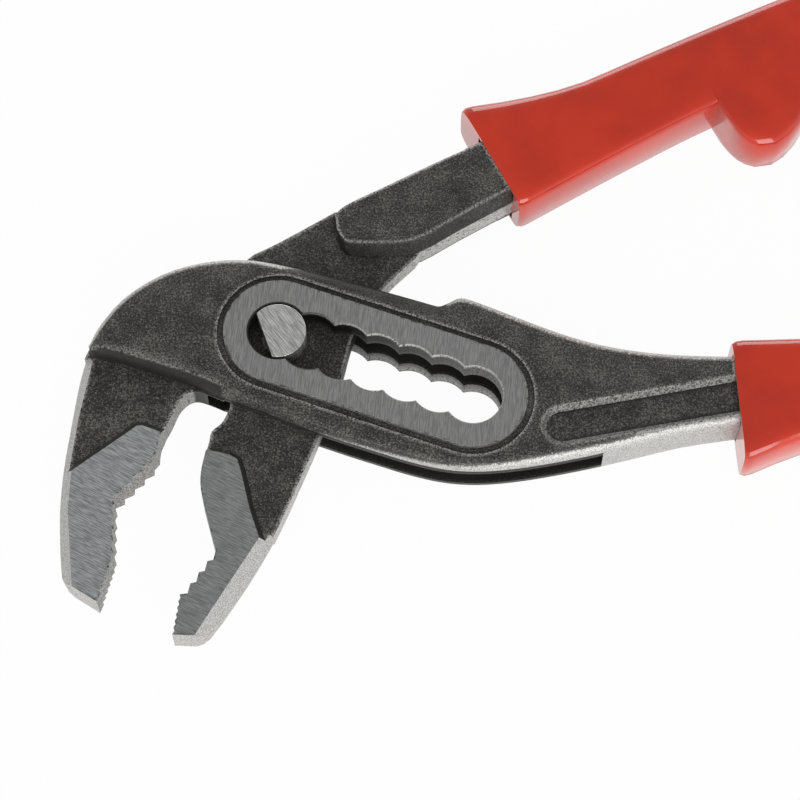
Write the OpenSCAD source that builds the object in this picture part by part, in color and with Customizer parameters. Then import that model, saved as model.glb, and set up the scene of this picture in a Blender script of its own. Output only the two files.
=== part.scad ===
// Adjustable pliers with a box joint: one lever passes through a slit in the other,
// and a D-shaped pivot pin drops into one of a row of notches.
// The tool lies flat. The pivot axis is Z, and Z = 0 is the plane it rests on.

/* [Size] */
// Nominal length of the tool, which sets the outlines of the levers
tool_l = 240; // [234:1:248]

/* [Pivot and slot] */
// Diameter of the pivot pin
pin_d = 10.2; // [9.8:0.1:10.5]
// Distance from the pin axis to the flat on its ends
pin_flat = 2.5; // [2.2:0.1:3]
// Radial play of the pin ends in the notches
pin_play = 0.25; // [0.15:0.05:0.3]
// Chamfer round the notches
notch_bevel = 0.3; // [0.1:0.05:0.4]
// Distance from one notch to the next
notch_pitch = 6.2; // [6:0.05:6.3]
// Number of notches in the slot
notch_count = 7; // [5:1:7]
// Diameter of the hidden bearing of the pin
core_d = 4.8; // [4.2:0.1:5]
// Radial play of that bearing
core_play = 0.05; // [0.03:0.01:0.08]

/* [Head] */
// Thickness over the two ground pads, and of the grips
head_t = 12.8; // [12.2:0.1:13.6]
// Height of a ground pad over the forged face
pad_rise = 0.7; // [0.4:0.1:0.9]
// Width of the ground pad round the notches
pad_band = 4.5; // [4:0.1:4.8]
// Depth of the groove round a pad
groove_depth = 0.3; // [0.2:0.1:0.6]
// Width of the slit between the two cheeks
slit_t = 4.8; // [4.4:0.1:5.2]
// Play of the inner lever on each side of the slit
slit_play = 0.15; // [0.1:0.05:0.2]
// Rounding of the forged edges, as seen on the faces
edge_r = 1.8; // [1:0.1:2]
// The same, as seen on the walls, which run out towards the middle
edge_h = 3.2; // [2:0.1:3.6]

/* [Jaws] */
// Thickness of the jaws at the ground faces
jaw_t = 7; // [6.6:0.1:7.6]
// Thickness of the forged web of the fixed jaw
web_t = 5.5; // [5.2:0.1:5.9]
// Width of the bevel along the back of the jaws
bevel_w = 1.8; // [1.2:0.1:2.2]
// Width of the sloping foot between a ground face and its web
foot_w = 0.9; // [0.5:0.1:1.2]
// Number of pipe teeth on each jaw
pipe_teeth = 4; // [3:1:5]
// Depth of the pipe teeth
pipe_tooth_h = 0.7; // [0.5:0.1:1]
// Number of fine teeth at the tip of each jaw
tip_teeth = 6; // [4:1:8]
// Depth of the fine teeth
tip_tooth_h = 0.3; // [0.2:0.05:0.4]

/* [Handles] */
// Width of the handles where the grips begin
handle_w = 13.4; // [12.6:0.1:14]
// Angle through which each handle bows along its grip
handle_bow = 6; // [0:1:8]
// Width of the chamfer along the inner lever's handle, as seen on the faces
chamfer_w = 1.4; // [1:0.1:1.8]
// Depth of the panel in the flat of the slotted lever's handle
panel_depth = 0.9; // [0.5:0.1:1.1]
// Width of that panel
panel_w = 7.6; // [7:0.1:8]
// Width of the sloping border inside that panel
panel_slope = 1; // [0.5:0.1:1.5]

/* [Grips] */
// Length of a grip
grip_l = 118; // [100:1:130]
// Wall of a grip at its two edges
grip_wall = 1.7; // [1.5:0.1:2.2]
// How far the guard stands out at the mouth of a grip, on its outer edge
guard_h = 5.8; // [3:0.2:6.4]
// How far the lip stands out at the mouth, on the inner edge
lip_h = 1.2; // [0.6:0.2:2]
// Length over which the guard runs out
guard_l = 24; // [16:1:30]
// Height of the finger stop on the inner edge of the upper grip
stop_h = 12; // [6:0.5:12]
// Distance of that stop from the mouth
stop_at = 43; // [42:1:54]

/* [Hidden] */
$fn = 64;

steel = [0.2, 0.2, 0.19];
bright = [0.66, 0.65, 0.63];
red = [0.72, 0.2, 0.14];

unit = tool_l / 240;
tang_sink = 0.5;
mid_z = head_t / 2;
body_t = head_t - 2 * pad_rise;
tang_t = body_t - 2 * tang_sink;
inner_t = slit_t - 2 * slit_play;
slot_angle = -19.4;
slot_l = (notch_count - 1) * notch_pitch;
notch_r = pin_d / 2 + pin_play;
pad_r = notch_r + pad_band;
groove_w = 1.2;
bevel_run = 0.9;
bevel_lead = 1;
flat_angle = 19.3;
slit_end = 25.3 * unit;
panel_start = unit * [51, -17.9];
panel_l = 36 * unit;
panel_angle = 10.5;
over = 30;
tang_lead = 3;
tang_short = 9;
tang_taper = 2;
tang_steps = 6;
lip_l = 36;
stop_l = 30;
stop_nose = 0.2;
stop_steep = 0.25;
ring_steps = 24;
ring_square = 0.3;
guard_curve = 1.6;
round_l = 9;

// Where each handle enters its grip: the middle of the handle, and the way it points
slotted_mouth = unit * [82.5, -10.65];
slotted_aim = 4;
inner_mouth = unit * [39.75, 33.25];
inner_aim = 28.2;

// A smooth curve through the points p, with n steps between two of them
function curve(p, n = 4) = concat(
    [for (i = [0 : len(p) - 2])
        let (a = p[max(i - 1, 0)], b = p[i], c = p[i + 1], d = p[min(i + 2, len(p) - 1)])
        for (k = [0 : n - 1])
            let (t = k / n)
            b + 0.5 * t * ((c - a) + t * ((2 * a - 5 * b + 4 * c - d) + t * (3 * b - a - 3 * c + d)))],
    [p[len(p) - 1]]);

// A row of n saw teeth from a to b. Each crest stands h off the line, lean of the way along its tooth
function teeth(a, b, n, h, lean) =
    let (step = (b - a) / n, side = [step[1], -step[0]] / norm(step))
    [for (i = [0 : n - 1]) each [a + step * i, a + step * (i + lean) + side * h]];

// The middle of a handle s along its grip, and the direction there. The bow is an arc
function bow_dir(aim, bow, s) = aim + bow * s / grip_l;
function bow_point(mouth, aim, bow, s) =
    mouth + s * [cos(aim + bow * s / grip_l / 2), sin(aim + bow * s / grip_l / 2)];
function bow_side(aim, bow, s) = [-sin(bow_dir(aim, bow, s)), cos(bow_dir(aim, bow, s))];

// Half the width of the handle inside its grip
function tang_half(s) = handle_w / 2 - tang_taper * min(max(s, 0) / grip_l, 1);

// A station of a handle, s along its grip: the left edge and then the right edge
function handle_station(mouth, aim, bow, s) =
    let (
        at = bow_point(mouth, aim, bow, s),
        half = tang_half(s) * bow_side(aim, bow, s)
    )
    [at[0] + half[0], at[1] + half[1], at[0] - half[0], at[1] - half[1]];

// The handle inside its grip, from just before the mouth to its end
function tang(mouth, aim, bow) =
    [for (k = [0 : tang_steps])
        handle_station(mouth, aim, bow, k == 0 ? -tang_lead : k * (grip_l - tang_short) / tang_steps)];

function flipped(p) = [for (i = [len(p) - 1 : -1 : 0]) p[i]];

// The outline round a list of stations
function edges(p) = concat([for (q = p) [q[0], q[1]]], [for (q = flipped(p)) [q[2], q[3]]]);

// A solid skin over rings of equally many points, each anticlockwise as seen from beyond the last ring
module skin(rings) {
    n = len(rings[0]);
    m = len(rings);
    polyhedron(
        [for (r = rings) each r],
        concat(
            [[for (i = [0 : n - 1]) i]],
            [for (j = [0 : m - 2], i = [0 : n - 1])
                each [
                    [j * n + i, (j + 1) * n + i, j * n + (i + 1) % n],
                    [j * n + (i + 1) % n, (j + 1) * n + i, (j + 1) * n + (i + 1) % n]
                ]],
            [[for (i = [n - 1 : -1 : 0]) (m - 1) * n + i]]
        ),
        convexity = 8
    );
}

// One cross-section of a forged bar of thickness t: from edge to edge, with its corners eased by ease.
// A corner with the turns 0 and 90 is a chamfer, and one with more of them is rounded.
// A station q holds the left edge and then the right edge, as seen along the bar
function bar_ring(q, t, ease, turns) =
    let (
        left = [q[0], q[1]],
        right = [q[2], q[3]],
        w = norm(left - right),
        across = (left - right) / w,
        r = min(ease, 0.45 * w)
    )
    [for (k = [0 : 3], a = turns)
        let (
            turn = 90 * k + a,
            u = (k == 0 || k == 3 ? 1 : -1) * (w / 2 - r) + r * cos(turn),
            z = (k < 2 ? 1 : -1) * (t / 2 - edge_h) + edge_h * sin(turn),
            at = (left + right) / 2 + u * across
        )
        [at[0], at[1], mid_z + z]];

// A forged bar along its stations
module bar(stations, t, ease = edge_r, turns = [0, 30, 60, 90]) {
    skin([for (q = stations) bar_ring(q, t, ease, turns)]);
}

// A straight-sided plate of thickness t about the middle plane
module plate(t) {
    translate([0, 0, mid_z - t / 2]) linear_extrude(t) children();
}

// A stadium of radius r along the slot
module slot_shape(r) {
    rotate(slot_angle) {
        circle(r);
        translate([slot_l, 0]) circle(r);
        translate([0, -r]) square([slot_l, 2 * r]);
    }
}

// The same on both faces of a bar of thickness t: what its children cover, cut to depth
module both_faces(t, depth) {
    for (side = [-1, 1])
        translate([0, 0, mid_z + side * t / 2 - depth]) linear_extrude(2 * depth) children();
}

// A bar along the line from a to b about the middle plane. The shape's X points to the left of the line
module along(a, b) {
    run = b - a;
    translate([a[0], a[1], mid_z])
        rotate(atan2(run[1], run[0]))
            rotate([90, 0, 90])
                linear_extrude(norm(run)) children();
}

// What a bevel takes off both faces of a jaw, along a line p that has the jaw on its left.
// Each stretch runs a little past its ends, so that two of them meet
module bevels(p) {
    for (i = [0 : len(p) - 2], side = [-1, 1]) {
        past = bevel_lead * (p[i + 1] - p[i]) / norm(p[i + 1] - p[i]);
        along(p[i] - past, p[i + 1] + past)
            polygon([
                [-bevel_run, 0], [-over, 0], [-over, side * jaw_t],
                [bevel_w, side * jaw_t], [bevel_w, side * jaw_t / 2]
            ]);
    }
}

// Sloping feet from a web of thickness t up to a ground face, along a line p that has the face on its left
module feet(p, t) {
    skin([for (i = [0 : len(p) - 1])
        let (
            before = p[max(i, 1)] - p[max(i, 1) - 1],
            next = min(i, len(p) - 2),
            after = p[next + 1] - p[next],
            middle = before / norm(before) + after / norm(after),
            out = p[i] + 2 * foot_w / (middle * middle) * [middle[1], -middle[0]]
        )
        [
            [p[i][0], p[i][1], mid_z - jaw_t / 2], [p[i][0], p[i][1], mid_z + jaw_t / 2],
            [out[0], out[1], mid_z + t / 2], [out[0], out[1], mid_z - t / 2]
        ]]);
}

// Stations of the slotted lever's head and handle: the upper edge, then the lower edge
slotted_stations = curve(concat(unit * [
    [-34.2, -2.2, -33.6, -3.9], [-32.6, 1.7, -30, -4.6], [-28.2, 7.4, -25, -6.2], [-21.6, 12, -20, -7.9],
    [-14.5, 14.4, -14.5, -9.8], [-7, 15.1, -9.6, -12], [0, 14.1, -3, -14.5], [11, 11.2, 5, -17.8],
    [22, 8, 13, -20.7], [27.5, 6.3, 19, -22.7], [29.3, 5.9, 22, -23.7], [31, 6.6, 25.5, -24.7],
    [33.2, 7.5, 29, -25.5], [36.5, 6.5, 33, -26], [44, 3.4, 38, -26], [51, 0.6, 45, -25.2],
    [58, -1.6, 54, -23.5], [65.5, -3, 63, -21.4], [73, -3.7, 73, -18.9]
], [handle_station(slotted_mouth, slotted_aim, handle_bow, 0)]), 3);

// Outline of the fixed jaw, anticlockwise from the throat
fixed_jaw_outline = concat(
    unit * [[-2, -6], [-31, 1]],
    curve(unit * [
        [-33.9, -1.6], [-35, -4.2], [-36, -8.7], [-36.9, -15.6], [-38, -24.3],
        [-38.4, -32.5], [-38.1, -40], [-37.6, -45]
    ]),
    unit * [[-36.6, -46.6], [-31.1, -50.1]],
    flipped(teeth(unit * [-28.9, -42], unit * [-31, -49.2], tip_teeth, -tip_tooth_h, 0.4)),
    flipped(teeth(unit * [-29.1, -30.6], unit * [-28.9, -42], tip_teeth - 1, -1.5 * tip_tooth_h, 0.6)),
    flipped(teeth(unit * [-22.2, -23.2], unit * [-29.1, -30.6], pipe_teeth, -pipe_tooth_h, 0.3)),
    curve(unit * [
        [-21.3, -22.2], [-21, -19.4], [-19.3, -16], [-17.9, -12.7],
        [-16.4, -11], [-14.7, -10.4], [-12.5, -11], [-9.8, -12.2]
    ])
);

// Upper edge of the ground face on the fixed jaw, from the throat to the back, and the back's bevelled line
fixed_foot = unit * [[-15, -20.6], [-24, -17.2], [-25, -17.2], [-50, -35.9]];
fixed_ground = concat(fixed_foot, unit * [[-50, -60], [-15, -60]]);
fixed_back = unit * [[-34.9, -5.2], [-36.9, -15.6], [-38.3, -26.6], [-38.6, -33], [-37.4, -47]];

// Outline of the inner lever's web and jaw, anticlockwise from the top of the slit
inner_outline = concat(
    curve(unit * [
        [-6.4, 15.3], [-8.6, 11], [-9.6, 5], [-9.7, 0], [-9.2, -7],
        [-8.5, -12.4], [-9, -14.4], [-10, -16.3], [-11.7, -17.9], [-12.1, -19.8]
    ], 3),
    curve(unit * [[-12.6, -21.8], [-13.4, -26], [-13.3, -29.5], [-12.2, -34], [-10.9, -38.8]], 3),
    teeth(unit * [-10.4, -40.6], unit * [-16.2, -48.8], pipe_teeth, -pipe_tooth_h, 0.7),
    teeth(unit * [-16.6, -48.8], unit * [-17.7, -56], tip_teeth, -tip_tooth_h, 0.5),
    unit * [[-17.7, -56.1], [-12.6, -56.3], [-11.3, -55.6]],
    curve(unit * [
        [-9.4, -53.2], [-5.1, -46.6], [-1.4, -39.9], [1.6, -33.4], [4, -27.6], [7.3, -19.4],
        [11.2, -8.2], [13.3, 0], [15.7, 5.2], [19.3, 10.4], [24.8, 15.9]
    ], 3),
    unit * [[28, 21], [16, 26.5]],
    curve(unit * [[10, 25.2], [0, 19.2], [-4.8, 16.7]], 3)
);

// Right edge of the ground face on the inner jaw, from the back up, and the back's bevelled line
inner_foot = unit * [[-1, -41], [-2.6, -39], [-4.6, -33], [-6.3, -25.8], [-7, -23.6], [-8.6, -22.6]];
inner_ground = concat(inner_foot, unit * [[-30, -18.3], [-30, -60], [0, -60]]);
inner_back = unit * [[-12.2, -57], [-0.9, -38.6]];

// Stations of the inner lever's handle, from its shoulder
inner_stations = curve(concat(unit * [
    [10, 24.6, 10.7, 19], [11.4, 26, 12, 16.8], [14, 27.6, 14.5, 16.3], [19, 30.2, 21.5, 16.4],
    [24, 32.8, 26, 17.4], [30, 35.9, 33, 21.6]
], [handle_station(inner_mouth, inner_aim, -handle_bow, 0)]), 3);

// Height of the finger stop s along the grip, as a share of its full height: a steep front and a long back
function stop_share(s) =
    let (u = (s - stop_at) / stop_l)
    u <= 0 || u >= 1 ? 0
        : u < stop_nose ? pow(sin(90 * u / stop_nose), stop_steep)
        : 0.5 + 0.5 * cos(180 * (u - stop_nose) / (1 - stop_nose));

// One ring of a grip: a squarish oval round the handle, wider at the guard, the lip and the stop
function grip_ring(mouth, aim, bow, outer, stop, s, swell) =
    let (
        at = bow_point(mouth, aim, bow, s),
        side = outer * bow_side(aim, bow, s),
        half = tang_half(s) + grip_wall,
        guard = guard_h * pow(max(1 - s / guard_l, 0), guard_curve),
        inward = lip_h * max(1 - s / lip_l, 0) + stop * stop_share(s)
    )
    [for (k = [0 : ring_steps - 1])
        let (
            t = outer * 360 * k / ring_steps,
            c = sign(cos(t)) * pow(abs(cos(t)), ring_square),
            z = sign(sin(t)) * pow(abs(sin(t)), ring_square),
            reach = swell * c * (half + (c > 0 ? guard : inward))
        )
        [at[0] + side[0] * reach, at[1] + side[1] * reach, mid_z + swell * z * head_t / 2]];

// A grip: rings along the bowed handle, closed by a round end
module grip(mouth, aim, bow, outer, stop) {
    after = stop_at + stop_l;
    spans = concat(
        [[0, 0.94], [0.8, 0.985], [2, 1]],
        [for (k = [1 : 8]) [2 + (stop_at - 2) * k / 8, 1]],
        [for (u = [0.02, 0.07, 0.15, 0.3]) [stop_at + stop_l * stop_nose * u, 1]],
        [for (u = [0.5 : 0.5 : 4.5]) [stop_at + stop_l * stop_nose * u, 1]],
        [for (k = [0 : 8]) [after + (grip_l - round_l - after) * k / 8, 1]],
        [for (a = [22.5 : 22.5 : 67.5]) [grip_l - round_l * (1 - sin(a)), cos(a)]],
        [[grip_l - 0.2, 0.2]]
    );
    color(red)
        difference() {
            skin([for (q = spans) grip_ring(mouth, aim, bow, outer, stop, q[0], q[1])]);
            plate(tang_t) polygon(edges(tang(mouth, aim, bow)));
        }
}

// The row of notches, with a small chamfer on both faces
module notches() {
    wide = notch_r + 2 * notch_bevel;
    top = head_t + notch_bevel;
    rotate(slot_angle)
        for (i = [0 : notch_count - 1])
            translate([i * notch_pitch, 0, 0])
                rotate_extrude()
                    polygon([
                        [0, -notch_bevel], [wide, -notch_bevel], [notch_r, notch_bevel],
                        [notch_r, head_t - notch_bevel], [wide, top], [0, top]
                    ]);
}

// The slit that the inner lever passes through, open at the top and the bottom edge
module slit() {
    right = slot_l + slit_end;
    onward = [cos(slot_angle), sin(slot_angle)];
    across = [-onward[1], onward[0]];
    plate(slit_t)
        polygon(concat(
            unit * [[-12.2, -13], [-11.5, -16.8]],
            [right * onward - over * across, right * onward + over * across],
            unit * [[-20, 26], [-18.2, 16]]
        ));
}

// The panel pressed into both flats of the handle, which runs on under the grip. Its border slopes
module panel() {
    for (side = [0, 1])
        translate([panel_start[0], panel_start[1], mid_z])
            mirror([0, 0, side])
                rotate(panel_angle)
                    skin([for (q = [-1, 1])
                        let (
                            half = panel_w / 2 + q * panel_slope,
                            round_end = [for (a = [90 : 15 : 270]) half * [cos(a), sin(a)]]
                        )
                        [for (p = concat(round_end, [[panel_l, -half], [panel_l, half]]))
                            [p[0], p[1], body_t / 2 + q * panel_depth]]]);
}

module slotted_lever() {
    color(steel)
        difference() {
            union() {
                bar(slotted_stations, body_t);
                bar(tang(slotted_mouth, slotted_aim, handle_bow), tang_t);
                plate(head_t) slot_shape(pad_r);
                plate(web_t) polygon(fixed_jaw_outline);
                intersection() {
                    plate(jaw_t) polygon(fixed_jaw_outline);
                    union() {
                        plate(jaw_t) polygon(fixed_ground);
                        feet(fixed_foot, web_t);
                    }
                }
            }
            both_faces(body_t, groove_depth)
                difference() {
                    slot_shape(pad_r + groove_w);
                    slot_shape(pad_r);
                }
            panel();
            slit();
            notches();
            bevels(fixed_back);
        }
}

module inner_lever() {
    color(steel)
        difference() {
            union() {
                bar(inner_stations, body_t, chamfer_w, [0, 90]);
                bar(tang(inner_mouth, inner_aim, -handle_bow), tang_t);
                plate(inner_t) polygon(inner_outline);
                intersection() {
                    plate(jaw_t) polygon(inner_outline);
                    union() {
                        plate(jaw_t) polygon(inner_ground);
                        feet(inner_foot, inner_t);
                    }
                }
            }
            cylinder(h = head_t, r = core_d / 2 + core_play);
            bevels(inner_back);
        }
}

module pin_core() {
    color(bright)
        translate([0, 0, mid_z - inner_t / 2 + core_play])
            cylinder(h = inner_t - 2 * core_play, d = core_d);
}

// One end of the pin: a disc with a flat, from the web of the inner lever out to the pad
module pin_end(side) {
    color(bright)
        translate([0, 0, mid_z])
            mirror([0, 0, side < 0 ? 1 : 0])
                difference() {
                    translate([0, 0, inner_t / 2]) cylinder(h = (head_t - inner_t) / 2, d = pin_d);
                    rotate(flat_angle)
                        translate([-pin_d - pin_flat, -pin_d, 0]) cube([pin_d, 2 * pin_d, head_t]);
                }
}

module pin_front() {
    pin_end(1);
}

module pin_back() {
    pin_end(-1);
}

module slotted_grip() {
    grip(slotted_mouth, slotted_aim, handle_bow, -1, 0);
}

module inner_grip() {
    grip(inner_mouth, inner_aim, -handle_bow, 1, stop_h);
}

slotted_lever();
inner_lever();
pin_core();
pin_front();
pin_back();
slotted_grip();
inner_grip();
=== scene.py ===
"""Water pump pliers on a white table: forged steel, ground faces and red plastic grips."""

import math
from types import SimpleNamespace

import bpy
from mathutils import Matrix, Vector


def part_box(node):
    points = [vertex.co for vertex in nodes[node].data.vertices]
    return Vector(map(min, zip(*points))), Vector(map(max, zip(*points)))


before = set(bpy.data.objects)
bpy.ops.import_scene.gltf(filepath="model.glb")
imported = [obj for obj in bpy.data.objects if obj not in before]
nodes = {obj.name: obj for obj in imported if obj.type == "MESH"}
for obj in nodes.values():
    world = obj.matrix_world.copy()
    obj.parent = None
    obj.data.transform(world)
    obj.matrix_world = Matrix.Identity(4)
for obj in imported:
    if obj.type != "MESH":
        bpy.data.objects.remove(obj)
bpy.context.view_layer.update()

MM = 0.001

# Levels off the middle plane of the tool, with the play of one and the rise of another at the rear
HEAD_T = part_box("slotted_lever")[1].z
MIDDLE_Z = HEAD_T / 2
PAD_H = MIDDLE_Z - 0.1 * MM
BODY_H = 5.66 * MM
PANEL_FLOOR_H = 5 * MM
WALL_H = 3.6 * MM
JAW_H = 3.5 * MM
JAW_H_PLAY = 0.08 * MM
SLIT_LIP_H = (3.5 * MM, 3.3 * MM)
REAR_LIP_RISE = 0.8 * MM
WEB_H = 2.7 * MM
CHAMFER_FOOT_H = 2.2 * MM

# Places along X and Y on the slotted lever. JAW_END_X holds for the inner jaw too.
FIXED_JAW_Y = -2 * MM
LOW_JAW_Y = -17 * MM
JAW_END_X = 3 * MM
HEAD_END_X = -10 * MM
TRIM_HIGHLIGHT_CLIMB = (-4 * MM, 48 * MM)
OVER_SLOT_FROM = (0.0, 8 * MM)
OVER_SLOT_TO = (31 * MM, 29 * MM)

# The slot, the slit and the panel, along and across lines through the pivot
SLOT_ANGLE = math.radians(-19.4)
SLIT_SPAN = (-11 * MM, 62.5 * MM)
SLOT_SPAN = (-6 * MM, 44 * MM)
SLOT_HALF = 6 * MM
NOTCH_SHADE_FADE = (14 * MM, 40 * MM)
REAR_WALL_WORN = (4 * MM, 22 * MM)
REAR_WALL_WORN_H = (1.8 * MM, 5 * MM)
NOTCH_RIM_WORN = (0.0, 20 * MM)
PANEL_ANGLE = math.radians(10.5)
PANEL_SPAN = (41 * MM, 90 * MM)
PANEL_ACROSS = -26.9 * MM
PANEL_HALF = 3.9 * MM
PANEL_RIM = (1.8 * MM, 2.9 * MM)

# Places on the inner lever. Its handle's upper edge is placed by such a line too.
INNER_JAW_Y = -17 * MM
INNER_WEB_END_Y = -14 * MM
BAR_Y = 6 * MM
UPPER_EDGE_ANGLE = math.radians(27.3)
UPPER_EDGE_SPAN = (24 * MM, 90 * MM)
UPPER_EDGE_ACROSS = (16.4 * MM, 16.6 * MM)

# How level a face is, from 0 on a wall to 1 on top: where a mask starts and where it is full
LEVEL = (0.85, 0.93)
SLOPING = (0.93, 0.85)
UPRIGHT = (0.32, 0.20)
GROUND = (0.93, 0.97)
STEP = (0.93, 0.80)
RIDGE_FROM = (0.88, 0.95)
RIDGE_TO = (0.99, 0.96)
CHAMFER = (0.75, 0.60)
BEVEL_FROM = (0.30, 0.40)
BEVEL_TO = (0.90, 0.82)
NOTCH_RIM = (0.45, 0.60)

# How far a face turns along +Y, or for teeth to the other jaw: where a mask starts and where it is full.
# On a jaw's slopes a share of the turn along +X is added.
TOWARDS_TOP = (0.05, 0.25)
TOWARDS_JAW = (-0.05, -0.20)
CHAMFER_TOP = (0.10, 0.30)
FOOT_RISE = (0.12, 0.20)
BEVEL_FALL = (0.20, 0.12)
FOOT_LEAN = 0.12
BITING = (0.05, 0.25)

# How far the trimmed walls, lightened by a painted highlight, reach up the rounded edge, and how much the
# grain frays their border
TRIM_REACH = 0.78
TRIM_REACH_TOP = 0.88
TRIM_BORDER = (0.10, -0.10)
TRIM_FRAY = 0.8
UPPER_EDGE_FRAY = 0.8 * MM

# Corners get painted shade and outer edges are rubbed: how far each is felt, and where its mask starts and
# is full
CORNER_REACH = 2.4 * MM
CORNER_CLEAR = (0.75, 0.55)
CORNER_SHADE = (0.38, 0.66)
EDGE_REACH = 0.7 * MM
EDGE_RUB = (0.06, 0.22)
EDGE_DENTS = (0.20, 0.45)

# Patterns: cells to the metre, detail and roughness. Scratches are squeezed along, across and through.
GRAIN = (2800, 3.0, 0.75)
PATCHES = (170, 3.0, 0.6)
SPECKS = (3900, 1.0, 0.5)
SAND = (4600, 2.0, 0.6)
PITS = (1300, 3.0, 0.7)
DENTS = (900, 2.0, 0.5)
CLOUDS = (90, 3.0, 0.5)
ORANGE_PEEL = (900, 2.0, 0.5)
SCRATCHES = (1, 2.0, 0.5)
FINE_SQUEEZE = (600, 10000, 900)
BROAD_SQUEEZE = (300, 5000, 400)

# A pattern goes up and down about a middle: where a mask by it starts and where it is full
PATTERN_MIDDLE = 0.5
SCRATCH_TONE = (0.43, 0.57)
SCALE_TONE = (0.36, 0.50)
SCALE_LIGHT_TONE = (0.48, 0.68)
SPECK_TONE = (0.66, 0.76)
SAND_TONE = (0.36, 0.62)
PIT_TONE = (0.54, 0.64)
DENT_TONE = (0.52, 0.60)
RUB_TONE = (0.40, 0.56)
TOOTH_TONE = (0.36, 0.60)
NOTCH_TONE = (0.36, 0.62)
NOTCH_WORN_TONE = (0.38, 0.58)
NOTCH_RIM_TONE = (0.36, 0.50)
GRIP_TONE = (0.35, 0.65)
GRIP_GLOSS_TONE = (0.3, 0.7)

# How much of a mask takes effect
PATCH_SHARE = 0.35
SPECK_SHARE = 0.6
RUB_SHARE = 0.95
RIDGE_SHARE = 0.5
SHADE_SHARE = 0.9
PIT_SHARE = 0.7
DENT_SHARE = 0.9
OVER_SLOT_SHARE = 0.7
CHAMFER_SHARE = 0.6
BARE_SHARE = 0.85

# Finish of the surfaces: roughness, share of metal, radius of edges, depth and strength of the relief
FORGED_ROUGH = 0.55
GROUND_ROUGH = 0.40
PIN_ROUGH = 0.42
GRIP_ROUGH = (0.26, 0.38)
TABLE_ROUGH = 0.9
FORGED_METAL = 0.2
BRIGHT_METAL = 0.9
FORGED_EDGE = 0.12 * MM
PIN_EDGE = 0.2 * MM
FORGED_RELIEF = (0.14 * MM, 0.6)
GROUND_RELIEF = (0.01 * MM, 0.2)
PIN_RELIEF = (0.01 * MM, 0.25)
GRIP_RELIEF = (0.05 * MM, 0.12)

# Directions of the scratches, from X
PAD_SCRATCHES = math.radians(84)
JAW_SCRATCHES = math.radians(-28)
PIN_SCRATCHES = math.radians(-52)

# Colours, as they look under plain light. SCALE_BLACK also serves as painted shade, and the trimmed tones
# carry a painted highlight
SCALE_BLACK = (0.010, 0.0095, 0.008, 1)
FORGED = (0.038, 0.036, 0.032, 1)
FORGED_LIGHT = (0.17, 0.163, 0.147, 1)
SPECK = (0.42, 0.41, 0.39, 1)
WORN = (0.46, 0.455, 0.43, 1)
TRIMMED_HIGHLIGHT_DARK = (0.34, 0.336, 0.322, 1)
TRIMMED_HIGHLIGHT = (0.68, 0.671, 0.648, 1)
BEVEL_DARK = (0.36, 0.357, 0.345, 1)
BEVEL_LIGHT = (0.62, 0.615, 0.60, 1)
TOOTH_DARK = (0.11, 0.108, 0.10, 1)
TOOTH_LIGHT = (0.44, 0.435, 0.415, 1)
NOTCH_DARK = (0.05, 0.049, 0.046, 1)
NOTCH_LIGHT = (0.24, 0.237, 0.228, 1)
PAD_DARK = (0.30, 0.30, 0.298, 1)
PAD_LIGHT = (0.46, 0.46, 0.457, 1)
FIXED_JAW_DARK = (0.32, 0.335, 0.336, 1)
FIXED_JAW_LIGHT = (0.64, 0.665, 0.665, 1)
INNER_JAW_DARK = (0.27, 0.278, 0.277, 1)
INNER_JAW_LIGHT = (0.46, 0.472, 0.470, 1)
PIN_DARK = (0.43, 0.43, 0.423, 1)
PIN_LIGHT = (0.83, 0.83, 0.82, 1)
RED = (0.63, 0.027, 0.002, 1)
RED_DEEP = (0.53, 0.021, 0.002, 1)
RED_SHEEN = (1, 0.74, 0.64, 1)
TABLE_WHITE = (0.86, 0.86, 0.855, 1)
WHITE = (1, 1, 1, 1)

# Edges that bend by more than these angles stay crisp, and points closer than the gap are welded
SLOTTED_CRISP = math.radians(36)
INNER_CRISP = math.radians(22)
PIN_CRISP = math.radians(32)
GRIP_CRISP = math.radians(60)
WELD_GAP = 0.002 * MM

# The table lies a hair below the tool
TABLE_SIZE = 6
TABLE_PLACE = (80 * MM, 0, -0.02 * MM)
TABLE_GLOW = 0.97

# The sky's strength, by height and from front to back, and the lamps
SKY_HEIGHTS = (0.15, 0.8)
SKY_BY_HEIGHT = (1.0, 0.42)
SKY_DEPTHS = (-0.4, 0.7)
SKY_BY_DEPTH = (1.05, 0.8)
LAMP_SIZE = 0.6
FRONT_LAMP = (0.25, -0.75, 0.35)
FRONT_POWER = 4
BACK_LAMP = (0.1, 0.9, 0.2)
BACK_POWER = 3

# The camera looks down at the head from the front
CAMERA_PLACE = (22.04 * MM, -205.4 * MM, 512.9 * MM)
CAMERA_TILT = math.radians(21)
CAMERA_LENS = 135
CAMERA_SENSOR = 36


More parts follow.
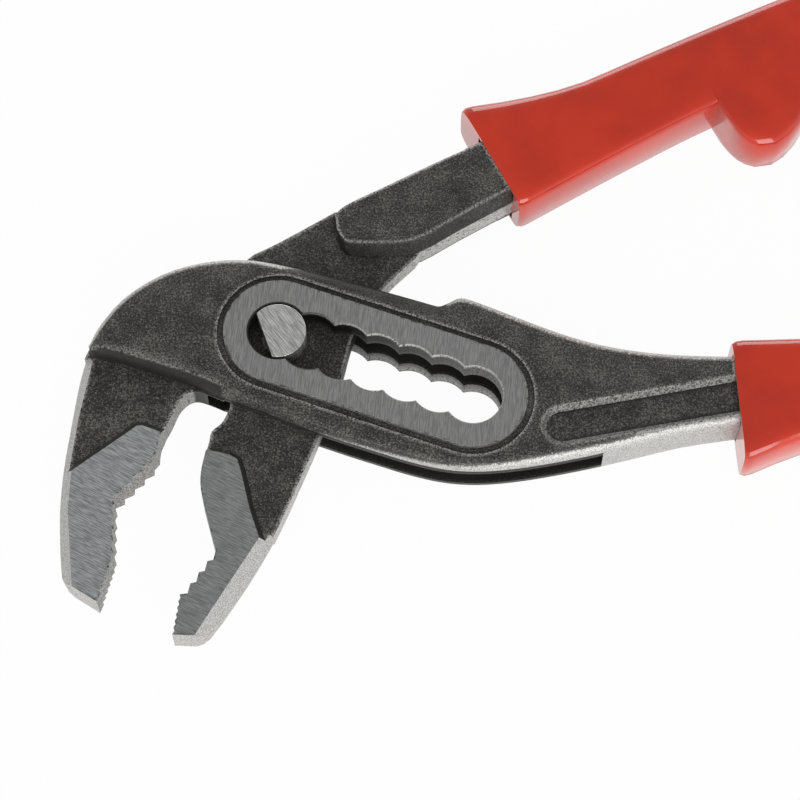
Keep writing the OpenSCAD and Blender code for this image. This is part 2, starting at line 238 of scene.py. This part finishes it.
class Nodes:
    """The nodes of a material or of the sky under construction: short ways to add and join them."""

    # Numbers of the two inputs and of the output, by kind of mix
    MIX_SOCKETS = {"FLOAT": (2, 3, 0), "VECTOR": (4, 5, 1), "RGBA": (6, 7, 2)}
    SAMPLES = 6

    def __init__(self, owner):
        owner.use_nodes = True
        self.owner = owner
        self.tree = owner.node_tree

    def named(self, name):
        return self.tree.nodes[name]

    def add(self, kind, **settings):
        made = self.tree.nodes.new("ShaderNode" + kind)
        for key, value in settings.items():
            setattr(made, key, value)
        return made

    def join(self, value, socket):
        """Plugs an output into a socket, or sets the socket to a plain value."""
        if isinstance(value, bpy.types.NodeSocket):
            self.tree.links.new(value, socket)
        else:
            socket.default_value = value

    def fill(self, node, values):
        """Joins values to the inputs of a node, by name or by number."""
        for key, value in values.items():
            self.join(value, node.inputs[key])

    def math(self, operation, a, b=0.0, c=0.0):
        made = self.add("Math", operation=operation)
        self.fill(made, {0: a, 1: b, 2: c})
        return made.outputs[0]

    def both(self, first, *others):
        for other in others:
            first = self.math("MULTIPLY", first, other)
        return first

    def either(self, first, *others):
        for other in others:
            first = self.math("MAXIMUM", first, other)
        return first

    def unless(self, mask):
        return self.math("SUBTRACT", 1.0, mask)

    def below(self, value, limit):
        return self.math("LESS_THAN", value, limit)

    def above(self, value, limit):
        return self.math("GREATER_THAN", value, limit)

    def between(self, value, low, high):
        return self.both(self.above(value, low), self.below(value, high))

    def grade(self, value, low, high, start, end, shape="SMOOTHSTEP"):
        """Goes from start to end as value goes from low to high, and stays level outside them."""
        made = self.add("MapRange", interpolation_type=shape)
        self.fill(made, {"Value": value, "From Min": low, "From Max": high, "To Min": start, "To Max": end})
        return made.outputs["Result"]

    def ramp(self, value, low, high):
        """0 below low, 1 above high, smooth between them. With low above high it falls."""
        if low < high:
            return self.grade(value, low, high, 0, 1)
        return self.grade(value, high, low, 1, 0)

    def mix(self, share, a, b, kind="RGBA"):
        """Goes from a to b as share goes from 0 to 1: colours, or with another kind numbers or vectors."""
        first, second, result = self.MIX_SOCKETS[kind]
        made = self.add("Mix", data_type=kind)
        self.fill(made, {"Factor": share, first: a, second: b})
        return made.outputs[result]

    def place(self, turn=0.0, scale=(1, 1, 1)):
        """Points of the object's own frame, turned about Z and then stretched."""
        turned = self.add("VectorRotate", rotation_type="Z_AXIS")
        self.fill(turned, {"Vector": self.add("TexCoord").outputs["Object"], "Angle": turn})
        made = self.add("VectorMath", operation="MULTIPLY")
        self.fill(made, {0: turned.outputs[0], 1: scale})
        return made.outputs[0]

    def noise(self, vector, scale, detail, rough):
        made = self.add("TexNoise")
        self.fill(made, {"Vector": vector, "Scale": scale, "Detail": detail, "Roughness": rough})
        return made.outputs["Fac"]

    def split(self, vector):
        made = self.add("SeparateXYZ")
        self.join(vector, made.inputs[0])
        return made.outputs

    def closeness(self, distance, inside=False):
        """0 on open ground, rising in corners; inside the metal it rises along outer edges instead."""
        made = self.add("AmbientOcclusion", samples=self.SAMPLES, inside=inside, only_local=inside)
        self.fill(made, {"Distance": distance})
        return self.unless(made.outputs["AO"])

    def rounded(self, radius):
        """A normal that rounds off edges."""
        made = self.add("Bevel", samples=self.SAMPLES)
        self.fill(made, {"Radius": radius})
        return made.outputs["Normal"]

    def bump(self, height, distance, strength, normal=None):
        made = self.add("Bump")
        self.fill(made, {"Height": height, "Distance": distance, "Strength": strength})
        if normal is not None:
            self.join(normal, made.inputs["Normal"])
        return made.outputs["Normal"]

    def finish(self, **values):
        """Joins values to the inputs of the material's surface, and gives the material."""
        surface = self.named("Principled BSDF")
        self.fill(surface, {key.replace("_", " "): value for key, value in values.items()})
        return self.owner


def new_material(name):
    return Nodes(bpy.data.materials.new(name))


def brushed(s, turn, dark, light):
    """Colour and height of a ground face whose scratches run at an angle to X."""
    fine = s.noise(s.place(-turn, FINE_SQUEEZE), *SCRATCHES)
    broad = s.noise(s.place(-turn, BROAD_SQUEEZE), *SCRATCHES)
    height = s.math("ADD", s.both(fine, 1 / 2), s.both(broad, 1 / 2))
    return s.mix(s.ramp(height, *SCRATCH_TONE), dark, light), height


def shifted(s, value, pattern, width):
    """A value that a pattern shifts to and fro, so that a mask by it has a ragged border."""
    return s.math("ADD", value, s.both(s.math("SUBTRACT", pattern, PATTERN_MIDDLE), width))


def forged_skin(s):
    """Colour and height of black forging scale: fine grain, darker patches and a few bright specks."""
    grain = s.noise(s.place(), *GRAIN)
    patches = s.noise(s.place(), *PATCHES)
    speck = s.ramp(s.noise(s.place(), *SPECKS), *SPECK_TONE)
    tone = shifted(s, grain, patches, PATCH_SHARE)
    colour = s.mix(s.ramp(tone, *SCALE_TONE), SCALE_BLACK, FORGED)
    colour = s.mix(s.ramp(tone, *SCALE_LIGHT_TONE), colour, FORGED_LIGHT)
    return s.mix(s.both(speck, SPECK_SHARE), colour, SPECK), grain


def survey(s):
    """What the masks go by: a point's place, its level off the middle plane and the way it faces."""
    coords = s.add("TexCoord").outputs
    x, y, z = s.split(coords["Object"])
    nx, ny, nz = s.split(coords["Normal"])
    return SimpleNamespace(
        x=x, y=y, nx=nx, ny=ny,
        rear=s.below(z, MIDDLE_Z),
        level=s.math("ABSOLUTE", s.math("SUBTRACT", z, MIDDLE_Z)),
        facing=s.math("ABSOLUTE", nz),
        corner=s.closeness(CORNER_REACH),
        edge=s.closeness(EDGE_REACH, inside=True),
    )


def along_line(s, angle, span):
    """How far a point lies along and across a line through the pivot, and 1 within a span along it."""
    along, across, _ = s.split(s.place(-angle))
    return along, across, s.between(along, *span)


def panel_masks(s, at):
    """The panel in the slotted lever's handle: all of it, its sloping border, and the rim of its floor."""
    _, across, beside = along_line(s, PANEL_ANGLE, PANEL_SPAN)
    off_axis = s.math("ABSOLUTE", s.math("SUBTRACT", across, PANEL_ACROSS))
    panel = s.both(beside, s.below(off_axis, PANEL_HALF))
    border = s.both(panel, s.ramp(at.facing, *SLOPING))
    floor = s.both(panel, s.below(at.level, PANEL_FLOOR_H), s.ramp(at.facing, *LEVEL))
    return panel, border, s.both(floor, s.ramp(off_axis, *PANEL_RIM))


def step_masks(s, at):
    """The head behind the fixed jaw: all of it, the step down to the jaw, and the ridge above the step."""
    behind_jaw = s.both(s.below(at.x, HEAD_END_X), s.ramp(at.ny, *TOWARDS_JAW))
    above_web = s.both(behind_jaw, s.above(at.level, WEB_H))
    step = s.both(above_web, s.ramp(at.facing, *STEP))
    return behind_jaw, step, s.both(above_web, s.ramp(at.facing, *RIDGE_FROM), s.ramp(at.facing, *RIDGE_TO))


def slotted_walls(s, at, grain):
    """Masks of the slotted lever: trimmed walls with a painted highlight, rubbed edges, and painted shade.

    The trimmed walls carry a painted highlight that climbs further up the rounded edge towards the handle
    and along the upper edge, with a frayed border, but leaves out the stretch above the slot. The panel's
    border and the edge above the step behind the jaw are rubbed lighter, partly wear and partly a painted
    highlight. That step, the lips of the slit, the rim of the panel's floor and the edge above the slot get
    painted shade.
    """
    panel, border, rim = panel_masks(s, at)
    behind_jaw, step, ridge = step_masks(s, at)
    _, _, by_slit = along_line(s, SLOT_ANGLE, SLIT_SPAN)
    lip_level = s.math("SUBTRACT", at.level, s.both(at.rear, REAR_LIP_RISE))
    lip = s.both(by_slit, s.ramp(lip_level, *SLIT_LIP_H))

    top = s.ramp(at.ny, *TOWARDS_TOP)
    over_slot = s.both(top, s.ramp(at.x, *OVER_SLOT_FROM), s.ramp(at.x, *OVER_SLOT_TO))
    # Painted highlight: the trimmed band reaches further up the rounded edge towards the handle and along
    # the upper edge
    reach = s.grade(at.x, *TRIM_HIGHLIGHT_CLIMB, 0, TRIM_REACH, "LINEAR")
    reach = s.either(reach, s.both(top, s.unless(over_slot), TRIM_REACH_TOP))
    trimmed = s.ramp(s.math("SUBTRACT", shifted(s, at.facing, grain, TRIM_FRAY), reach), *TRIM_BORDER)
    for kept_black in (over_slot, panel, lip, behind_jaw):
        trimmed = s.both(trimmed, s.unless(kept_black))
    trimmed = s.both(trimmed, s.below(at.level, BODY_H))

    low = s.either(s.below(at.level, WEB_H), s.below(at.y, LOW_JAW_Y))
    jaw_wall = s.both(s.ramp(at.facing, *UPRIGHT), s.below(at.level, WALL_H), low)
    bare = s.either(trimmed, s.both(jaw_wall, s.unless(by_slit)))
    # The panel's border and the ridge above the step: partly wear, partly a painted highlight
    rubbed = s.both(s.either(border, ridge), RIDGE_SHARE)
    # Painted shade: the lips of the slit, the step behind the jaw, the rim of the panel's floor, the edge
    # above the slot
    return bare, rubbed, s.either(lip, step, rim, s.both(over_slot, OVER_SLOT_SHARE))


def inner_walls(s, at, grain):
    """Masks of the inner lever: bare walls with a painted highlight, and painted shade.

    The chamfer gets painted shade along its lower side, and so do the walls that run in the slit.
    Along the handle's upper edge it is bare with a painted highlight, and the flat face beside it too,
    with a frayed border.
    """
    upright = s.ramp(at.facing, *UPRIGHT)
    on_bar = s.both(s.above(at.y, BAR_Y), s.below(at.level, CHAMFER_FOOT_H))
    on_jaw = s.both(s.below(at.y, INNER_WEB_END_Y), s.below(at.level, WALL_H))
    chamfer = s.both(s.above(at.level, CHAMFER_FOOT_H), s.ramp(at.facing, *CHAMFER))
    upper_chamfer = s.both(chamfer, s.unless(on_jaw), s.ramp(at.ny, *CHAMFER_TOP))
    _, across, beside = along_line(s, UPPER_EDGE_ANGLE, UPPER_EDGE_SPAN)
    upper_rim = s.both(beside, s.ramp(shifted(s, across, grain, UPPER_EDGE_FRAY), *UPPER_EDGE_ACROSS))
    # Bare walls along the bar and the jaw, and the upper edge: trimmed metal with a painted highlight
    bare = s.either(s.both(upright, s.either(on_bar, on_jaw)), upper_rim, upper_chamfer)
    # Painted shade on the lower chamfer and on the walls that run in the slit
    shaded = s.either(s.both(chamfer, CHAMFER_SHARE), upright)
    return bare, s.both(shaded, s.unless(on_jaw), s.unless(bare))


def jaw_masks(s, at, jaw_line, bite):
    """Masks of the jaw below jaw_line: all of it, its ground face, outer bevel, foot and teeth.

    The teeth are on the side along X that bite gives, as 1 or -1.
    """
    past = s.both(s.below(at.y, jaw_line), s.below(at.x, JAW_END_X))
    whole = s.both(past, s.below(at.level, WALL_H))
    slope = s.both(whole, s.ramp(at.facing, *BEVEL_FROM), s.ramp(at.facing, *BEVEL_TO))
    rise = s.math("ADD", at.ny, s.both(at.nx, FOOT_LEAN))
    return SimpleNamespace(
        whole=whole,
        face=s.both(s.math("COMPARE", at.level, JAW_H, JAW_H_PLAY), past),
        bevel=s.both(slope, s.ramp(rise, *BEVEL_FALL)),
        foot=s.both(slope, s.ramp(rise, *FOOT_RISE)),
        teeth=s.both(whole, s.ramp(at.facing, *UPRIGHT), s.ramp(s.both(at.nx, bite), *BITING)),
    )


def with_notches(s, at, grain, skin):
    """Adds the slot's walls to a skin: painted shade in the first notches, worn on the rear cheek and rim.
    """
    along, across, by_slot = along_line(s, SLOT_ANGLE, SLOT_SPAN)
    sloping = s.ramp(at.facing, *SLOPING)
    in_slot = s.both(by_slot, s.below(s.math("ABSOLUTE", across), SLOT_HALF), sloping)
    wall = s.mix(s.ramp(grain, *NOTCH_TONE), NOTCH_DARK, NOTCH_LIGHT)
    # Painted shade: the walls go black towards the pin, where the inner web keeps the light off
    wall = s.mix(s.ramp(along, *NOTCH_SHADE_FADE), SCALE_BLACK, wall)
    worn = s.both(at.rear, s.ramp(along, *REAR_WALL_WORN), s.ramp(at.level, *REAR_WALL_WORN_H))
    wall = s.mix(s.both(worn, s.ramp(grain, *NOTCH_WORN_TONE)), wall, WORN)
    rim = s.both(in_slot, s.ramp(at.facing, *NOTCH_RIM), sloping)
    rim = s.both(rim, s.ramp(along, *NOTCH_RIM_WORN), s.ramp(grain, *NOTCH_RIM_TONE))
    return s.mix(rim, s.mix(in_slot, skin, wall), WORN)


def ground_faces(s, at, jaw_face, jaw_colours):
    """Colour and scratches of the ground faces, with a few dark dents along their edges."""
    pad_colour, pad_height = brushed(s, PAD_SCRATCHES, PAD_DARK, PAD_LIGHT)
    jaw_colour, jaw_height = brushed(s, JAW_SCRATCHES, *jaw_colours)
    dents = s.both(s.ramp(at.edge, *EDGE_DENTS), s.ramp(s.noise(s.place(), *DENTS), *DENT_TONE))
    colour = s.mix(s.both(dents, DENT_SHARE), s.mix(jaw_face, pad_colour, jaw_colour), FORGED)
    return colour, s.mix(jaw_face, pad_height, jaw_height, "FLOAT")


def lever_steel(name, jaw_line, jaw_colours, bite, slotted):
    """Black forged steel. The pads and the jaws are ground, and the outer walls are trimmed bright.
    A painted highlight lightens those walls, and painted shade darkens corners and creases.

    The jaw lies below jaw_line, and bite is the side, along X, on which it meets the other jaw.
    """
    s = new_material(name)
    at = survey(s)
    scale, grain = forged_skin(s)
    jaw = jaw_masks(s, at, jaw_line, bite)
    rub = s.ramp(at.edge, *EDGE_RUB)
    if slotted:
        ground = s.either(jaw.face, s.above(at.level, PAD_H))
        bare, rubbed, shaded = slotted_walls(s, at, grain)
        rub = s.either(rub, rubbed)
    else:
        ground = jaw.face
        bare, shaded = inner_walls(s, at, grain)
    ground = s.both(ground, s.ramp(at.facing, *GROUND))
    # The painted highlight on the bright walls stays out of corners and off the jaw's foot, which take
    # painted shade
    bare = s.both(bare, s.ramp(at.corner, *CORNER_CLEAR), s.unless(jaw.foot))

    scale = s.mix(s.both(rub, s.ramp(grain, *RUB_TONE), RUB_SHARE), scale, WORN)
    # Painted shade: the scale goes black in corners, along the jaw's foot and on the parts out of the light
    painted_shade = s.either(s.ramp(at.corner, *CORNER_SHADE), jaw.foot, shaded)
    scale = s.mix(s.both(painted_shade, SHADE_SHARE), scale, SCALE_BLACK)
    sand = s.ramp(s.noise(s.place(), *SAND), *SAND_TONE)
    # Bare trimmed steel, made lighter still as a painted highlight
    trimmed = s.mix(sand, TRIMMED_HIGHLIGHT_DARK, TRIMMED_HIGHLIGHT)
    if not slotted:
        pits = s.ramp(s.noise(s.place(), *PITS), *PIT_TONE)
        trimmed = s.mix(s.both(pits, s.unless(jaw.whole), PIT_SHARE), trimmed, FORGED)
    skin = s.mix(bare, scale, trimmed)
    skin = s.mix(jaw.bevel, skin, s.mix(sand, BEVEL_DARK, BEVEL_LIGHT))
    skin = s.mix(jaw.teeth, skin, s.mix(s.ramp(grain, *TOOTH_TONE), TOOTH_DARK, TOOTH_LIGHT))
    if slotted:
        skin = with_notches(s, at, grain, skin)

    bright, scratches = ground_faces(s, at, jaw.face, jaw_colours)
    forged_normal = s.bump(grain, *FORGED_RELIEF, s.rounded(FORGED_EDGE))
    ground_normal = s.bump(scratches, *GROUND_RELIEF)
    metal = s.either(ground, s.both(s.either(bare, jaw.bevel), BARE_SHARE))
    return s.finish(
        Base_Color=s.mix(ground, skin, bright),
        Roughness=s.mix(ground, FORGED_ROUGH, GROUND_ROUGH, "FLOAT"),
        Normal=s.mix(ground, forged_normal, ground_normal, "VECTOR"),
        Metallic=s.mix(metal, FORGED_METAL, BRIGHT_METAL, "FLOAT"),
    )


def pin_steel():
    """Ground pin ends, lighter than the pad round them."""
    s = new_material("pin_steel")
    colour, height = brushed(s, PIN_SCRATCHES, PIN_DARK, PIN_LIGHT)
    normal = s.bump(height, *PIN_RELIEF, s.rounded(PIN_EDGE))
    return s.finish(Base_Color=colour, Roughness=PIN_ROUGH, Normal=normal, Metallic=BRIGHT_METAL)


def grip_plastic():
    """Soft red plastic, dipped: a glossy skin with a faint orange peel over an uneven colour."""
    s = new_material("grip_plastic")
    cloud = s.noise(s.place(), *CLOUDS)
    peel = s.noise(s.place(), *ORANGE_PEEL)
    return s.finish(
        Base_Color=s.mix(s.ramp(cloud, *GRIP_TONE), RED_DEEP, RED),
        Roughness=s.mix(s.ramp(cloud, *GRIP_GLOSS_TONE), *GRIP_ROUGH, "FLOAT"),
        Normal=s.bump(peel, *GRIP_RELIEF),
        Metallic=0.0,
        Specular_IOR_Level=0.1,
        Coat_Weight=1.0,
        Coat_Roughness=0.1,
        Coat_IOR=1.6,
        Sheen_Weight=0.35,
        Sheen_Tint=RED_SHEEN,
        Sheen_Roughness=0.3,
    )


def smooth(obj, angle):
    """Welds a node's seams and shades it smooth, apart from edges sharper than angle."""
    weld = obj.modifiers.new("weld", "WELD")
    weld.merge_threshold = WELD_GAP
    group = bpy.data.node_groups.new("smooth_" + obj.name, "GeometryNodeTree")
    group.interface.new_socket("Geometry", in_out="INPUT", socket_type="NodeSocketGeometry")
    group.interface.new_socket("Geometry", in_out="OUTPUT", socket_type="NodeSocketGeometry")
    start = group.nodes.new("NodeGroupInput")
    end = group.nodes.new("NodeGroupOutput")
    faces = group.nodes.new("GeometryNodeSetShadeSmooth")
    edges = group.nodes.new("GeometryNodeSetShadeSmooth")
    edges.domain = "EDGE"
    bend = group.nodes.new("GeometryNodeInputMeshEdgeAngle")
    soft = group.nodes.new("FunctionNodeCompare")
    soft.operation = "LESS_THAN"
    soft.inputs["B"].default_value = angle
    link = group.links.new
    link(bend.outputs["Unsigned Angle"], soft.inputs["A"])
    link(start.outputs[0], faces.inputs["Geometry"])
    link(faces.outputs[0], edges.inputs["Geometry"])
    link(soft.outputs["Result"], edges.inputs["Shade Smooth"])
    link(edges.outputs[0], end.inputs[0])
    obj.modifiers.new("smooth", "NODES").node_group = group


def dress(name, material, crisp_angle):
    obj = nodes[name]
    obj.data.materials.clear()
    obj.data.materials.append(material)
    smooth(obj, crisp_angle)


def dress_tool():
    """Gives each node its material and its crisp edges."""
    fixed_jaw = (FIXED_JAW_DARK, FIXED_JAW_LIGHT)
    inner_jaw = (INNER_JAW_DARK, INNER_JAW_LIGHT)
    slotted_steel = lever_steel("slotted_steel", FIXED_JAW_Y, fixed_jaw, bite=1, slotted=True)
    inner_steel = lever_steel("inner_steel", INNER_JAW_Y, inner_jaw, bite=-1, slotted=False)
    dress("slotted_lever", slotted_steel, SLOTTED_CRISP)
    dress("inner_lever", inner_steel, INNER_CRISP)
    pin = pin_steel()
    for part in ("pin_core", "pin_front", "pin_back"):
        dress(part, pin, PIN_CRISP)
    plastic = grip_plastic()
    for part in ("slotted_grip", "inner_grip"):
        dress(part, plastic, GRIP_CRISP)


def table():
    """A white table that keeps a faint shadow, and glows for rays from the camera or mirrored in metal."""
    bpy.ops.mesh.primitive_plane_add(size=TABLE_SIZE, location=TABLE_PLACE)
    top = bpy.context.object
    top.name = "table"
    s = new_material("table_white")
    top.data.materials.append(s.finish(Base_Color=TABLE_WHITE, Roughness=TABLE_ROUGH))
    path = s.add("LightPath").outputs
    seen = s.either(path["Is Camera Ray"], path["Is Glossy Ray"])
    glow = s.add("Emission")
    s.fill(glow, {"Color": WHITE})
    plain = s.named("Principled BSDF")
    surface = s.add("MixShader")
    s.fill(surface, {0: s.both(seen, TABLE_GLOW), 1: plain.outputs[0], 2: glow.outputs[0]})
    s.fill(s.named("Material Output"), {"Surface": surface.outputs[0]})


def lamp(name, place, power):
    """A square lamp that shines at the pivot."""
    data = bpy.data.lights.new(name, "AREA")
    data.size = LAMP_SIZE
    data.energy = power
    obj = bpy.data.objects.new(name, data)
    obj.location = place
    obj.rotation_euler = obj.location.to_track_quat("Z", "Y").to_euler()
    bpy.context.collection.objects.link(obj)


def studio():
    """A pale tent: bright in front and round the horizon, dimmer overhead and behind, and two low lamps."""
    world = bpy.data.worlds.new("studio")
    bpy.context.scene.world = world
    s = Nodes(world)
    _, depth, height = s.split(s.add("TexCoord").outputs["Generated"])
    by_height = s.grade(height, *SKY_HEIGHTS, *SKY_BY_HEIGHT)
    by_depth = s.grade(depth, *SKY_DEPTHS, *SKY_BY_DEPTH)
    s.fill(s.named("Background"), {"Color": WHITE, "Strength": s.both(by_height, by_depth)})
    lamp("front", FRONT_LAMP, FRONT_POWER)
    lamp("back", BACK_LAMP, BACK_POWER)


def camera():
    """The photograph's view: over the head, tipped off the vertical."""
    data = bpy.data.cameras.new("camera")
    data.lens = CAMERA_LENS
    data.sensor_width = CAMERA_SENSOR
    obj = bpy.data.objects.new("camera", data)
    obj.location = CAMERA_PLACE
    obj.rotation_euler = (CAMERA_TILT, 0, 0)
    bpy.context.collection.objects.link(obj)
    bpy.context.scene.camera = obj


dress_tool()
table()
studio()
camera()
bpy.context.scene.view_settings.view_transform = "Standard"

bpy.context.view_layer.update()
